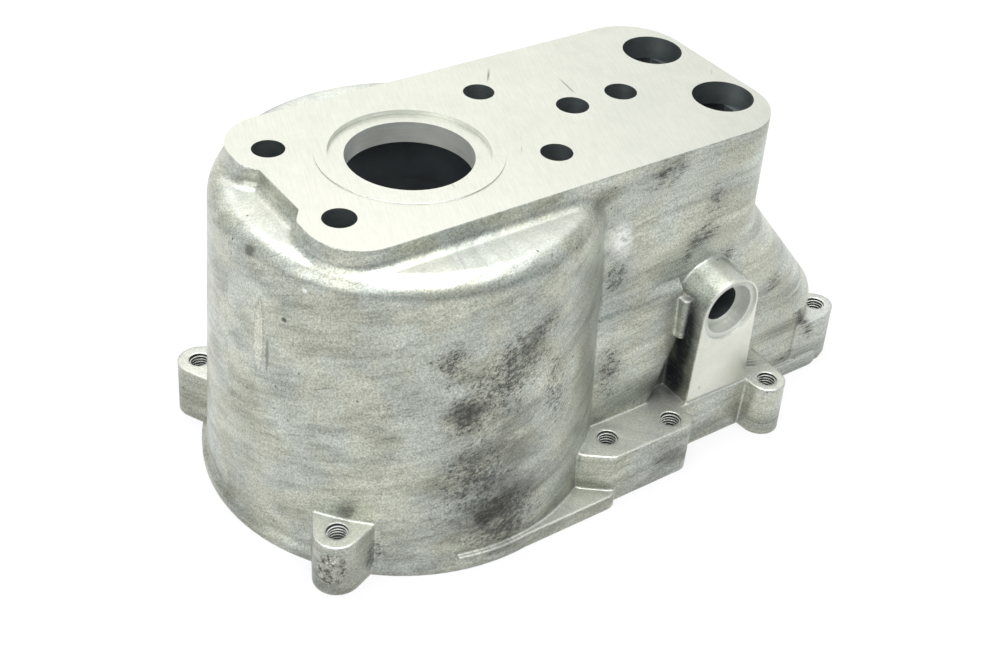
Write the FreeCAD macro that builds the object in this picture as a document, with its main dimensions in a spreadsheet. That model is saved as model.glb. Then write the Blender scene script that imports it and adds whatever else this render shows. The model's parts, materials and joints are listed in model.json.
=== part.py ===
"""Die cast gear housing: one aluminium casting, machined at its joint faces, bores and tapped lugs.

The casting is a drafted drum that stands on its open mouth, with a flat machined plate on top. A
hollow neck runs from the drum in +X under the plate and flares down to a square end. A side boss,
a ledge, lugs with tapped holes and a thin web stand on the base rim. Inside, a boss with ribs
carries a bearing seat below the main bore.

Lengths are millimetres and angles are degrees. While the housing is modelled, the base joint face
lies on z = 0 and the drum's axis is the Z axis. Its Placement then moves the origin up the axis,
to the step that the main bore starts at.
"""

import FreeCAD
import Part

import math
import os
import re

import Sketcher

Vector = FreeCAD.Vector
document = FreeCAD.newDocument("die_cast_housing")

# ---------------------------------------------------------------- driving dimensions

SIZES = [
    ("total_height", 98.7, "base joint face to machined top face"),
    ("wall_thickness", 4.0, "cast wall of drum and neck"),
    ("deck_thickness", 7.3, "top face to the underside of the deck"),
    # drum
    ("drum_radius", 58.0, "outside of the drum at the base"),
    ("drum_draft", 3.0, "draft of the drum wall"),
    ("shoulder_level", 93.0, "top of the drum's shoulder"),
    ("shoulder_round", 6.2, "round between drum wall and shoulder"),
    ("rim_width", 1.4, "how far the base rim stands out of the walls"),
    ("rim_height", 2.2, "upright part of the drum's rim"),
    ("rim_blend", 1.8, "slanted part of the drum's rim above it"),
    ("neck_rim_height", 4.4, "height of the neck's rim"),
    ("neck_rim_round", 8.0, "corner round of the neck's rim"),
    # top plate
    ("plate_half_width", 35.5, "half of the machined plate's width"),
    ("plate_left", 42.0, "axis to the two lobes at the drum's side"),
    ("plate_right", 107.0, "axis to the plate's far end"),
    ("lobe_round", 14.8, "corner round of the lobes"),
    ("end_round", 17.5, "corner round of the plate's far end and the neck"),
    ("notch_depth", 3.2, "depth of the notch between the lobes"),
    ("notch_half", 10.6, "half width of the notch floor"),
    ("notch_slope", 4.4, "length of the notch's slanted ends"),
    ("notch_lip_round", 4.0, "rounds between the lobes and the slanted ends"),
    ("notch_floor_round", 1.5, "rounds in the notch's corners"),
    # neck
    ("neck_draft", 1.4, "draft of the neck's side walls"),
    ("neck_end", 140.0, "axis to the upright end of the neck"),
    ("neck_end_height", 27.2, "height at which the flare starts"),
    ("flare_top", 66.7, "height at which the flare meets the upper end wall"),
    ("flare_round", 9.0, "round at the foot of the flare"),
    ("flare_top_round", 4.5, "round where the flare meets the upper end wall"),
    # side boss and its machined pad
    ("pad_x", 81.5, "axis to the side bore along the neck"),
    ("pad_height", 47.7, "height of the side bore"),
    ("pad_face", 48.5, "axis plane to the machined pad face"),
    ("pad_radius", 10.4, "round top of the pad and outside of the boss"),
    ("pad_foot_half", 12.2, "half width of the pad at its foot"),
    ("pad_step", 0.7, "how far the cast foot wall stands out below the pad"),
    ("boss_flare", 1.6, "how much wider the boss is at the neck wall"),
    ("boss_inside", 3.0, "how far the boss stands into the neck"),
    ("pocket_half", 8.4, "half width of the hollow behind the pad"),
    ("foot_wall_right", 93.5, "axis to the right end of the foot wall below the pad"),
    # bulge in the neck wall beside the boss
    ("bulge_top", 57.0, "height of the bulge where it leaves the neck wall"),
    ("bulge_shelf", 53.5, "height of the bulge's soft top edge"),
    ("bulge_out_top", 39.5, "axis plane to the bulge at its top edge"),
    ("bulge_out_foot", 43.4, "axis plane to the bulge at its foot"),
    ("bulge_round", 3.5, "round along the bulge's top edge"),
    ("bulge_right", 70.0, "axis to the bulge's right end"),
    ("bulge_foot_right", 59.8, "axis to the bulge's right end at the ledge"),
    ("bulge_slant_height", 38.5, "height down to which the bulge's right end is upright"),
    ("bulge_pocket_left", 46.0, "axis to the left end of the hollow behind the bulge"),
    ("corner_rib_radius", 1.8, "half-round rib on the bulge's right end"),
    ("corner_rib_out", 41.4, "axis plane to the middle of the rib's round"),
    ("corner_rib_top", 51.7, "height of the top of that rib"),
    # ledge, lugs and web on the base rim
    ("ledge_height", 17.2, "base to the ledge and lug tops"),
    ("ledge_front", 57.0, "axis plane to the ledge's front"),
    ("ledge_left", 28.0, "axis to the ledge's left corner"),
    ("ledge_right", 67.6, "axis to the ledge's right end"),
    ("drum_lug_radius", 6.4, "round end of the drum lugs"),
    ("side_lug_radius", 5.7, "round end of the side and end lugs"),
    ("drum_lug_flank", 20.0, "half angle between the flanks of a drum lug"),
    ("drum_lug_reach", 8.0, "hole to the root of a drum lug"),
    ("lug_draft", 1.5, "draft of the lugs"),
    ("drum_lug_x", "=drum_radius * 45.8 / 58", "axis to the drum lugs' holes along X"),
    ("drum_lug_y", "=drum_radius * 41.9 / 58", "axis to the drum lugs' holes along Y"),
    ("side_lug_x", 99.6, "axis to the side lugs' holes along X"),
    ("side_lug_y", 52.1, "axis to the front side lug's hole along Y"),
    ("far_lug_y", 46.5, "axis to the far side lugs' holes along Y"),
    ("side_lug_flank", 4.0, "half angle between the flanks of a side lug"),
    ("end_lug_x", "=neck_end + 0.9", "axis to the end lugs' holes along X"),
    ("end_lug_y", 30.6, "axis to the end lugs' holes along Y"),
    ("end_lug_flank", 25.0, "half angle between the flanks of an end lug"),
    ("end_lug_root", "=neck_end - 14", "axis to the end lugs' roots along the side wall"),
    ("end_lug_inset", 2.0, "how far the end lugs' inner flank runs into the end wall"),
    ("end_lug_proud", 2.1, "how far the end lugs stand out of the plate's width"),
    ("ledge_near_x", 39.9, "axis to the ledge's first hole along X"),
    ("ledge_near_y", 48.7, "axis to the ledge's first hole along Y"),
    ("ledge_far_x", 61.4, "axis to the ledge's second hole along X"),
    ("ledge_far_y", 51.6, "axis to the ledge's second hole along Y"),
    ("ledge_round", 4.5, "corner rounds of the ledge"),
    ("ledge_bevel_x", 8.5, "slanted corner of the ledge along X"),
    ("ledge_bevel_y", 6.5, "slanted corner of the ledge along Y"),
    ("web_right", 36.5, "axis to the web's corner"),
    ("web_height", 4.7, "thickness of the web between drum and ledge"),
    ("web_front", 59.2, "axis plane to the web's front edge"),
    ("web_sweep", 45.0, "angle that the web takes up on the drum's rim"),
    ("web_start", 106.0, "angle from +X to the web's end on the rim"),
    # machined top face
    ("main_bore_radius", 17.5, "main bore"),
    ("recess_radius", 21.9, "round recess above the main bore"),
    ("recess_depth", 1.0, "top face to the recess floor"),
    ("ring_radius", 25.5, "raised ring round the recess"),
    ("ring_rise", 0.3, "how far the ring stands above the top face"),
    ("bearing_radius", 21.0, "bearing seat below the main bore"),
    ("bearing_depth", 14.0, "length of the bearing seat"),
    ("bearing_wall", 5.0, "wall of the boss round the bearing seat"),
    ("corner_hole_radius", 4.5, "four holes round the main bore"),
    ("corner_hole_y", 18.8, "axis plane to those holes"),
    ("corner_left_x", 32.0, "axis to the two on the drum's side"),
    ("corner_right_x", 34.5, "axis to the two on the neck's side"),
    ("centre_hole_radius", 4.75, "two holes on the plate's centre line"),
    ("centre_near_x", 53.8, "axis to the nearer one"),
    ("centre_far_x", 71.1, "axis to the farther one"),
    ("end_hole_radius", 9.0, "two large holes at the plate's end"),
    ("end_hole_x", 96.0, "axis to them"),
    ("end_hole_y", 16.2, "axis plane to them"),
    # side bore
    ("side_recess_radius", 9.9, "shallow recess at the mouth of the side bore"),
    ("side_recess_depth", 0.8, "its depth"),
    ("side_bore_radius", 8.2, "side bore"),
    ("side_bore_depth", 4.6, "pad face to the shoulder in the side bore"),
    ("side_hole_radius", 5.75, "hole from the side bore into the neck"),
    # tapped holes
    ("tap_radius", 3.0, "M6 holes, to the thread's outside"),
    # inside
    ("rib_thickness", 3.0, "ribs between bearing boss and drum wall"),
    ("rib_height", 9.0, "ribs, below the drum's roof"),
    ("cavity_bevel", 5.0, "bevel between the drum's wall and roof inside"),
    ("valley_round", 3.0, "round where the drum meets the neck"),
]

sizes = document.addObject("Spreadsheet::Sheet", "sizes")
for row, (alias, value, meaning) in enumerate(SIZES, start=1):
    sizes.set(f"A{row}", alias)
    sizes.set(f"B{row}", str(value))
    sizes.set(f"C{row}", meaning)
    sizes.setAlias(f"B{row}", alias)
document.recompute()


ALIASES = {alias for alias, _, _ in SIZES}
PLANES = {
    "XY": ("z", FreeCAD.Rotation()),
    "XZ": ("y", FreeCAD.Rotation(Vector(1, 0, 0), 90)),
    "YZ": ("x", FreeCAD.Rotation(Vector(1, 1, 1), 120)),
}
OVERRUN = "2"  # how far a cutting tool runs past the face that it opens
ROOT = "1"  # how far the bearing boss and its ribs run into what carries them
RIB_DIRECTIONS = (100, 125, 180, 235, 260)  # of the ribs round the bearing boss, from +X
NEAR = 1.0  # an edge's middle point this close to a wall or a level counts as lying there


def size(expression):
    """Return the number that an expression of the sheet's names gives."""
    value = sizes.evalExpression(expression)
    return float(getattr(value, "Value", value))


def bind(target, expressions):
    """Drive properties of an object by expressions of the sheet's names."""
    for path, expression in expressions.items():
        linked = re.sub(r"[a-z_]+", lambda word: "sizes." * (word[0] in ALIASES) + word[0], expression)
        target.setExpression(path, linked)


# ---------------------------------------------------------------- outlines and solids


def outline(name, plane, corners, level="0"):
    """Return a sketch of a closed outline on a plane parallel to XY, XZ or YZ.

    Each corner is two expressions for its place and, where it is rounded, a third for its radius.
    A rounded corner is kept as a point that both of its lines run through.
    """
    axis, rotation = PLANES[plane]
    sketch = document.addObject("Sketcher::SketchObject", name)
    sketch.Placement = FreeCAD.Placement(Vector(), rotation)
    bind(sketch, {f"Placement.Base.{axis}": level})
    points = [Vector(size(corner[0]), size(corner[1]), 0) for corner in corners]
    count = len(corners)
    starts = list(points)
    ends = list(points)
    arcs = {}
    for index, corner in enumerate(corners):
        if len(corner) < 3:
            continue
        radius = size(corner[2])
        toward_last = (points[index - 1] - points[index]).normalize()
        toward_next = (points[(index + 1) % count] - points[index]).normalize()
        half_angle = toward_last.getAngle(toward_next) / 2
        ends[index] = points[index] + toward_last * (radius / math.tan(half_angle))
        starts[index] = points[index] + toward_next * (radius / math.tan(half_angle))
        bisector = (toward_last + toward_next).normalize()
        centre = points[index] + bisector * (radius / math.sin(half_angle))
        turns_left = toward_last.cross(toward_next).z < 0
        first, last = (ends[index], starts[index]) if turns_left else (starts[index], ends[index])
        angles = [math.atan2(point.y - centre.y, point.x - centre.x) for point in (first, last)]
        circle = Part.Circle(centre, Vector(0, 0, 1), radius)
        arcs[index] = (Part.ArcOfCircle(circle, *angles), turns_left)
    for index in range(count):
        sketch.addGeometry(Part.LineSegment(starts[index], ends[(index + 1) % count]))
    for index, corner in enumerate(corners):
        line_in = (index - 1) % count
        if index not in arcs:
            sketch.addConstraint(Sketcher.Constraint("Coincident", line_in, 2, index, 1))
            place = (index, 1)
        else:
            arc, turns_left = arcs[index]
            arc_id = sketch.addGeometry(arc)
            point_id = sketch.addGeometry(Part.Point(points[index]), True)
            arc_first, arc_last = (1, 2) if turns_left else (2, 1)
            sketch.addConstraint(Sketcher.Constraint("Tangent", line_in, 2, arc_id, arc_first))
            sketch.addConstraint(Sketcher.Constraint("Tangent", arc_id, arc_last, index, 1))
            sketch.addConstraint(Sketcher.Constraint("PointOnObject", point_id, 1, line_in))
            sketch.addConstraint(Sketcher.Constraint("PointOnObject", point_id, 1, index))
            radius_id = sketch.addConstraint(Sketcher.Constraint("Radius", arc_id, size(corner[2])))
            bind(sketch, {f"Constraints[{radius_id}]": corner[2]})
            place = (point_id, 1)
        for kind, expression in (("DistanceX", corner[0]), ("DistanceY", corner[1])):
            distance = Sketcher.Constraint(kind, -1, 1, *place, size(expression))
            distance_id = sketch.addConstraint(distance)
            bind(sketch, {f"Constraints[{distance_id}]": expression})
    return sketch


def extruded(name, sketch, forward="0", backward="0", draft="0"):
    """Return a solid from a sketch, growing outward by the draft angle as it leaves the sketch."""
    solid = document.addObject("Part::Extrusion", name)
    solid.Base = sketch
    solid.DirMode = "Normal"
    solid.Solid = True
    bind(solid, {
        "LengthFwd": forward,
        "LengthRev": backward,
        "TaperAngle": draft,
        "TaperAngleRev": draft,
    })
    return solid


def revolved(name, sketch):
    """Return a sketch on the XZ plane turned round the Z axis."""
    solid = document.addObject("Part::Revolution", name)
    solid.Source = sketch
    solid.Axis = Vector(0, 0, 1)
    solid.Angle = 360
    solid.Solid = True
    return solid


def cylinder(name, radius, length, place, along_y=False):
    """Return a cylinder that starts at a place and runs up, or toward -Y."""
    solid = document.addObject("Part::Cylinder", name)
    if along_y:
        solid.Placement.Rotation = PLANES["XZ"][1]
    bind(solid, {"Radius": radius, "Height": length})
    bind(solid, {f"Placement.Base.{axis}": value for axis, value in zip("xyz", place)})
    return solid


def joined(name, solids):
    """Return the union of solids, with faces in one surface merged."""
    union = document.addObject("Part::MultiFuse", name)
    union.Shapes = solids
    union.Refine = True
    return union


def common(name, first, second):
    """Return what two solids share."""
    shared = document.addObject("Part::Common", name)
    shared.Base = first
    shared.Tool = second
    return shared


def cut(name, base, tool):
    """Return a solid less another."""
    rest = document.addObject("Part::Cut", name)
    rest.Base = base
    rest.Tool = tool
    rest.Refine = True
    return rest


def rounded(name, base, radius, chosen):
    """Return a solid with a radius along the edges that a test of their middle points picks."""
    document.recompute()
    middles = [edge.valueAt((edge.FirstParameter + edge.LastParameter) / 2) for edge in base.Shape.Edges]
    picked = [number for number, middle in enumerate(middles, start=1) if chosen(middle)]
    fillet = document.addObject("Part::Fillet", name)
    fillet.Base = base
    fillet.Edges = [(number, size(radius), size(radius)) for number in picked]
    return fillet


# ---------------------------------------------------------------- outside of the casting


def drum():
    """The drafted drum with its rounded shoulder and base rim."""
    wall_top = "drum_radius - shoulder_level * tan(drum_draft)"
    profile = outline("drum_profile", "XZ", [
        ("0", "0"),
        ("drum_radius + rim_width", "0"),
        ("drum_radius + rim_width", "rim_height"),
        ("drum_radius - (rim_height + rim_blend) * tan(drum_draft)", "rim_height + rim_blend"),
        (wall_top, "shoulder_level", "shoulder_round"),
        ("0", "shoulder_level"),
    ])
    return revolved("drum", profile)


def plate():
    """The part of the top plate that overhangs the drum, with two lobes and a notch between them."""
    notch_x = "notch_depth - plate_left"
    slope_y = "notch_half + notch_slope"
    shape = outline("plate_outline", "XY", [
        ("corner_right_x", "-plate_half_width"),
        ("corner_right_x", "plate_half_width"),
        ("-plate_left", "plate_half_width", "lobe_round"),
        ("-plate_left", slope_y, "notch_lip_round"),
        (notch_x, "notch_half", "notch_floor_round"),
        (notch_x, "-notch_half", "notch_floor_round"),
        ("-plate_left", f"-({slope_y})", "notch_lip_round"),
        ("-plate_left", "-plate_half_width", "lobe_round"),
    ], level="total_height")
    depth = "total_height - shoulder_level + shoulder_round / 2"
    return extruded("plate", shape, backward=depth, draft="neck_draft")


def neck_form(name, inset, floor, top, corner_round):
    """The neck's form, moved in by an inset: its side view and its end view have this in common."""
    end = f"neck_end - {inset}"
    upper_end = f"plate_right - {inset}"
    half = f"plate_half_width - {inset}"
    lean = "atan((neck_end - plate_right) / (flare_top - neck_end_height))"
    lowered = f"{inset} * tan({lean} / 2)"
    side_view = outline(f"{name}_side_view", "XZ", [
        ("0", floor),
        (end, floor),
        (end, f"neck_end_height - {lowered}", "flare_round"),
        (upper_end, f"flare_top - {lowered}", "flare_top_round"),
        (upper_end, top),
        ("0", top),
    ])
    foot_half = f"{half} + (total_height - {floor}) * tan(neck_draft)"
    top_half = f"{half} + (total_height - {top}) * tan(neck_draft)"
    end_view = outline(f"{name}_end_view", "YZ", [
        (f"-({foot_half})", floor),
        (foot_half, floor),
        (top_half, top),
        (f"-({top_half})", top),
    ])
    side = extruded(f"{name}_side", side_view, forward="drum_radius", backward="drum_radius")
    length = extruded(f"{name}_length", end_view, forward="neck_end + wall_thickness")
    form = common(f"{name}_form", side, length)

    def on_end_corner(middle):
        beside_end = middle.x > size(upper_end) - NEAR and abs(middle.y) > size(half) - NEAR
        return beside_end and size(floor) + NEAR < middle.z < size(top) - NEAR

    return rounded(f"{name}_rounded", form, corner_round, on_end_corner)


def neck_rim():
    """The rim round the neck's foot."""
    half = "plate_half_width + total_height * tan(neck_draft) + rim_width"
    shape = outline("neck_rim_outline", "XY", [
        ("0", f"-({half})"),
        ("neck_end + rim_width", f"-({half})", "neck_rim_round"),
        ("neck_end + rim_width", half, "neck_rim_round"),
        ("0", half),
    ])
    return extruded("neck_rim", shape, forward="neck_rim_height")


def main_form():
    """Drum, plate and neck in one, with a round down both valleys and along the plate's foot."""
    neck = neck_form("neck", "0", "0", "total_height", "end_round")
    together = joined("drum_plate_and_neck", [drum(), plate(), neck])
    lean = math.tan(math.radians(size("neck_draft")))
    slope = math.tan(math.radians(size("drum_draft")))

    def in_valley(middle):
        side = size("plate_half_width") + (size("total_height") - middle.z) * lean
        wall = size("drum_radius") - middle.z * slope
        on_side = abs(abs(middle.y) - side) < NEAR
        on_wall = abs(math.hypot(middle.x, middle.y) - wall) < NEAR
        return middle.x > 0 and on_side and on_wall and middle.z > size("rim_height + rim_blend")

    return rounded("valley_and_foot_rounded", together, "valley_round", in_valley)


def bulge():
    """The soft-edged bulge in the neck's front wall, with a slanted right end and a half-round rib."""
    end_view = outline("bulge_end_view", "YZ", [
        ("wall_thickness - plate_half_width", "0"),
        ("wall_thickness - plate_half_width", "bulge_top"),
        ("-plate_half_width", "bulge_top"),
        ("-bulge_out_top", "bulge_shelf", "bulge_round"),
        ("-bulge_out_foot", "0"),
    ], level="ledge_left")
    front_view = outline("bulge_front_view", "XZ", [
        ("ledge_left", "0"),
        ("bulge_foot_right", "0"),
        ("bulge_foot_right", "ledge_height"),
        ("bulge_right", "bulge_slant_height"),
        ("bulge_right", "bulge_top + 1"),
        ("ledge_left", "bulge_top + 1"),
    ])
    length = extruded("bulge_length", end_view, forward="bulge_right - ledge_left")
    depth = extruded("bulge_depth", front_view, forward="pad_face")
    rib_view = outline("corner_rib_view", "XY", [
        ("bulge_right - corner_rib_radius", "wall_thickness - plate_half_width"),
        ("bulge_right - corner_rib_radius", "-corner_rib_out"),
        ("bulge_right + corner_rib_radius", "-corner_rib_out"),
        ("bulge_right + corner_rib_radius", "wall_thickness - plate_half_width"),
    ], level="bulge_slant_height")
    rib_height = "corner_rib_top - bulge_slant_height"
    rib_end = cylinder("corner_rib_end", "corner_rib_radius", rib_height,
                       ("bulge_right", "-corner_rib_out", "bulge_slant_height"))
    return [common("bulge", length, depth), extruded("corner_rib", rib_view, forward=rib_height), rib_end]


def pad_and_boss():
    """The boss of the side bore, its machined pad and the cast foot wall below the pad."""
    half = "pad_foot_half"
    pad_view = outline("pad_view", "XZ", [
        (f"pad_x - {half}", "0"),
        (f"pad_x + {half}", "0"),
        ("pad_x + pad_radius", "pad_height"),
        ("pad_x - pad_radius", "pad_height"),
    ], level="-plate_half_width + wall_thickness")
    pad = extruded("pad", pad_view, forward="pad_face - plate_half_width + wall_thickness")
    boss = document.addObject("Part::Cone", "boss")
    boss.Placement.Rotation = PLANES["XZ"][1]
    reach = "plate_half_width - wall_thickness - boss_inside"
    bind(boss, {
        "Radius1": "pad_radius + boss_flare",
        "Radius2": "pad_radius",
        "Height": f"pad_face - ({reach})",
        "Placement.Base.x": "pad_x",
        "Placement.Base.y": f"-({reach})",
        "Placement.Base.z": "pad_height",
    })
    foot_outline = outline("foot_wall_outline", "XY", [
        ("ledge_right - ledge_round", "-plate_half_width"),
        ("ledge_right - ledge_round", "-(pad_face + pad_step)"),
        ("foot_wall_right", "-(pad_face + pad_step)"),
        ("foot_wall_right", "-plate_half_width"),
    ])
    foot_wall = extruded("foot_wall", foot_outline, forward="ledge_height")
    return [pad, foot_wall], boss


def ledge():
    """The ledge with two tapped holes, between the drum and the pad's foot wall."""
    shape = outline("ledge_outline", "XY", [
        ("ledge_left", "-plate_half_width"),
        ("ledge_left", "ledge_bevel_y - ledge_front", "ledge_round"),
        ("ledge_left + ledge_bevel_x", "-ledge_front", "ledge_round"),
        ("ledge_right", "-ledge_front", "ledge_round"),
        ("ledge_right", "-plate_half_width"),
    ])
    return extruded("ledge", shape, forward="ledge_height")


def web():
    """The thin web that fills the corner between the drum's rim and the ledge."""
    shape = outline("web_outline", "XY", [
        ("0", "-plate_half_width"),
        ("0", "-web_front"),
        ("web_right", "-web_front", "ledge_round"),
        ("web_right + ledge_round", "-ledge_front + ledge_round"),
        ("web_right + ledge_round", "-plate_half_width"),
    ])
    on_rim = cylinder("web_on_rim", "drum_radius + rim_width", "web_height", ("0", "0", "0"))
    on_rim.Placement.Rotation = FreeCAD.Rotation(Vector(0, 0, 1), -size("web_start"))
    bind(on_rim, {"Angle": "web_sweep"})
    return [extruded("web", shape, forward="web_height"), on_rim]


def lug(name, x, y, direction, radius, flank, reach):
    """A lug that points outward: two flanks that close on a round end about its hole."""
    root_half = f"({reach} + {radius} / sin({flank})) * tan({flank})"
    shape = outline(f"{name}_outline", "XY", [
        (f"-({reach})", f"-({root_half})"),
        (f"{radius} / sin({flank})", "0", radius),
        (f"-({reach})", root_half),
    ], level="ledge_height")
    shape.Placement.Rotation = FreeCAD.Rotation(Vector(0, 0, 1), direction)
    bind(shape, {"Placement.Base.x": x, "Placement.Base.y": y})
    return extruded(name, shape, backward="ledge_height", draft="lug_draft")


def end_lug(name, x, y):
    """A lug at the neck's end corner: it carries the side wall on, and its flanks close on a round end."""
    side = "-" if y.startswith("-") else ""
    slope = "tan(end_lug_flank)"
    front = "(plate_half_width + end_lug_proud)"
    tip_x = f"{x} + side_lug_radius / sin(end_lug_flank)"
    flank_x = f"{tip_x} - ({front} - end_lug_y) / {slope}"
    inner_x = "neck_end - end_lug_inset"
    inner_y = f"{side}(end_lug_y - ({tip_x} - ({inner_x})) * {slope})"
    shape = outline(f"{name}_outline", "XY", [
        ("end_lug_root", f"{side}{front}"),
        (flank_x, f"{side}{front}", "ledge_round"),
        (tip_x, y, "side_lug_radius"),
        (inner_x, inner_y),
        ("end_lug_root", inner_y),
    ], level="ledge_height")
    return extruded(name, shape, backward="ledge_height", draft="lug_draft")


LUGS = {
    "front_drum_lug": ("-drum_lug_x", "-drum_lug_y"),
    "back_drum_lug": ("-drum_lug_x", "drum_lug_y"),
    "front_side_lug": ("side_lug_x", "-side_lug_y"),
    "far_side_lug": ("side_lug_x", "far_lug_y"),
    "far_valley_lug": ("ledge_far_x", "far_lug_y"),
    "front_end_lug": ("end_lug_x", "-end_lug_y"),
    "far_end_lug": ("end_lug_x", "end_lug_y"),
}
LEDGE_HOLES = {
    "ledge_near": ("ledge_near_x", "-ledge_near_y"),
    "ledge_far": ("ledge_far_x", "-ledge_far_y"),
}


def lugs():
    """The lugs: drum lugs point away from the axis, side lugs along Y, end lugs along X."""
    made = []
    for name, (x, y) in LUGS.items():
        if "end" in name:
            made.append(end_lug(name, x, y))
        elif "drum" in name:
            outward = math.degrees(math.atan2(size(y), size(x)))
            made.append(lug(name, x, y, outward, "drum_lug_radius", "drum_lug_flank", "drum_lug_reach"))
        else:
            outward = math.copysign(90, size(y))
            reach = f"abs({y}) - plate_half_width"
            made.append(lug(name, x, y, outward, "side_lug_radius", "side_lug_flank", reach))
    return made


# ---------------------------------------------------------------- inside of the casting


def cavity():
    """The hollow of drum and neck, open at the base joint face."""
    roof = "shoulder_level - wall_thickness"
    inside = "drum_radius - wall_thickness"
    floor = f"-{OVERRUN}"
    wall_top = f"{inside} - ({roof} - cavity_bevel) * tan(drum_draft)"
    profile = outline("drum_hollow_profile", "XZ", [
        ("0", floor),
        (inside, floor),
        (wall_top, f"{roof} - cavity_bevel"),
        (f"{wall_top} - cavity_bevel", roof),
        ("0", roof),
    ])
    drum_hollow = revolved("drum_hollow", profile)
    neck_hollow = neck_form("neck_hollow", "wall_thickness", floor,
                            "total_height - deck_thickness", "end_round - wall_thickness")
    pocket_top = "pad_height - pad_radius - wall_thickness / 2"
    pocket_view = outline("pad_pocket_view", "XZ", [
        ("pad_x - pocket_half", floor),
        ("pad_x + pocket_half", floor),
        ("pad_x + pocket_half", pocket_top, "wall_thickness"),
        ("pad_x - pocket_half", pocket_top, "wall_thickness"),
    ])
    pad_pocket = extruded("pad_pocket", pocket_view, forward="pad_face - wall_thickness")
    bulge_pocket = extruded("bulge_pocket", outline("bulge_pocket_view", "YZ", [
        ("0", floor),
        ("0", "bulge_shelf - wall_thickness"),
        ("wall_thickness - bulge_out_top", "bulge_shelf - wall_thickness", "bulge_round"),
        ("wall_thickness - bulge_out_foot", floor),
    ], level="bulge_pocket_left"), forward="bulge_foot_right - wall_thickness - bulge_pocket_left")
    return joined("cavity", [drum_hollow, neck_hollow, pad_pocket, bulge_pocket])


def bearing_boss():
    """The boss that carries the bearing seat, with ribs that tie it to the drum wall."""
    lower_end = "total_height - deck_thickness - bearing_depth"
    roof = "shoulder_level - wall_thickness"
    boss_radius = "bearing_radius + bearing_wall"
    boss = cylinder("bearing_boss", boss_radius, f"bearing_depth + {ROOT}", ("0", "0", lower_end))
    rib_start = f"{boss_radius} - {ROOT}"
    rib_end = f"drum_radius - wall_thickness + {ROOT} - ({roof}) * tan(drum_draft)"
    ribs = []
    for number, direction in enumerate(RIB_DIRECTIONS, start=1):
        turn = FreeCAD.Rotation(Vector(0, 0, 1), direction)
        out = turn.multVec(Vector(1, 0, 0))
        rib = document.addObject("Part::Box", f"rib_{number}")
        rib.Placement.Rotation = turn
        bind(rib, {
            "Length": f"{rib_end} - ({rib_start})",
            "Width": "rib_thickness",
            "Height": f"rib_height + {ROOT}",
            "Placement.Base.x": f"({rib_start}) * ({out.x:.9f}) + rib_thickness / 2 * ({out.y:.9f})",
            "Placement.Base.y": f"({rib_start}) * ({out.y:.9f}) - rib_thickness / 2 * ({out.x:.9f})",
            "Placement.Base.z": f"{roof} - rib_height",
        })
        ribs.append(rib)
    return [boss, *ribs]


# ---------------------------------------------------------------- machining


def top_face_tools():
    """Bores and holes cut from the machined top face."""
    deck_underside = "total_height - deck_thickness"
    tools = [
        cylinder("main_bore", "main_bore_radius", f"deck_thickness + {OVERRUN}",
                 ("0", "0", deck_underside)),
        cylinder("recess", "recess_radius", f"recess_depth + ring_rise + {OVERRUN}",
                 ("0", "0", "total_height - recess_depth")),
        cylinder("bearing_seat", "bearing_radius", f"bearing_depth + {OVERRUN}",
                 ("0", "0", f"{deck_underside} - bearing_depth - {OVERRUN}")),
    ]
    holes = {"centre_near": ("centre_near_x", "0", "centre_hole_radius"),
             "centre_far": ("centre_far_x", "0", "centre_hole_radius")}
    for side, sign in (("front", "-"), ("back", "")):
        holes[f"corner_left_{side}"] = ("-corner_left_x", f"{sign}corner_hole_y", "corner_hole_radius")
        holes[f"corner_right_{side}"] = ("corner_right_x", f"{sign}corner_hole_y", "corner_hole_radius")
        holes[f"end_{side}"] = ("end_hole_x", f"{sign}end_hole_y", "end_hole_radius")
    through = "total_height - shoulder_level + wall_thickness"
    for name, (x, y, radius) in holes.items():
        depth = through if name.startswith("corner") else "deck_thickness"
        tools.append(cylinder(f"{name}_hole", radius, f"{depth} + {OVERRUN}",
                              (x, y, f"total_height - ({depth})")))
    return tools


def side_bore_tools():
    """The stepped bore cut into the side boss from its pad face."""
    return [
        cylinder("side_recess", "side_recess_radius", f"side_recess_depth + {OVERRUN}",
                 ("pad_x", "side_recess_depth - pad_face", "pad_height"), along_y=True),
        cylinder("side_bore", "side_bore_radius", f"side_bore_depth + {OVERRUN}",
                 ("pad_x", "side_bore_depth - pad_face", "pad_height"), along_y=True),
        cylinder("side_hole", "side_hole_radius", "pad_face",
                 ("pad_x", "0", "pad_height"), along_y=True),
    ]


def tapped_holes():
    """The M6 holes through lugs and ledge, at their outside diameter."""
    return [
        cylinder(f"{name}_tapped_hole", "tap_radius", f"ledge_height + {OVERRUN} * 2", (x, y, f"-{OVERRUN}"))
        for name, (x, y) in (LUGS | LEDGE_HOLES).items()
    ]


# ---------------------------------------------------------------- the casting


def housing():
    """The finished housing, with its origin on the main bore's axis at the step of the recess."""
    pad_parts, boss = pad_and_boss()
    solid_form = joined("solid_form", [
        main_form(), neck_rim(), *bulge(), ledge(), *web(), *pad_parts, boss, *lugs(),
    ])
    shell = cut("shell", solid_form, cavity())
    ring = cylinder("ring", "ring_radius", "ring_rise + recess_depth",
                    ("0", "0", "total_height - recess_depth"))
    casting = joined("casting", [shell, *bearing_boss(), boss, ring])
    tools = joined("machining", [*top_face_tools(), *side_bore_tools(), *tapped_holes()])
    finished = cut("housing", casting, tools)
    bind(finished, {"Placement.Base.z": "recess_depth - total_height"})
    return finished


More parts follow.
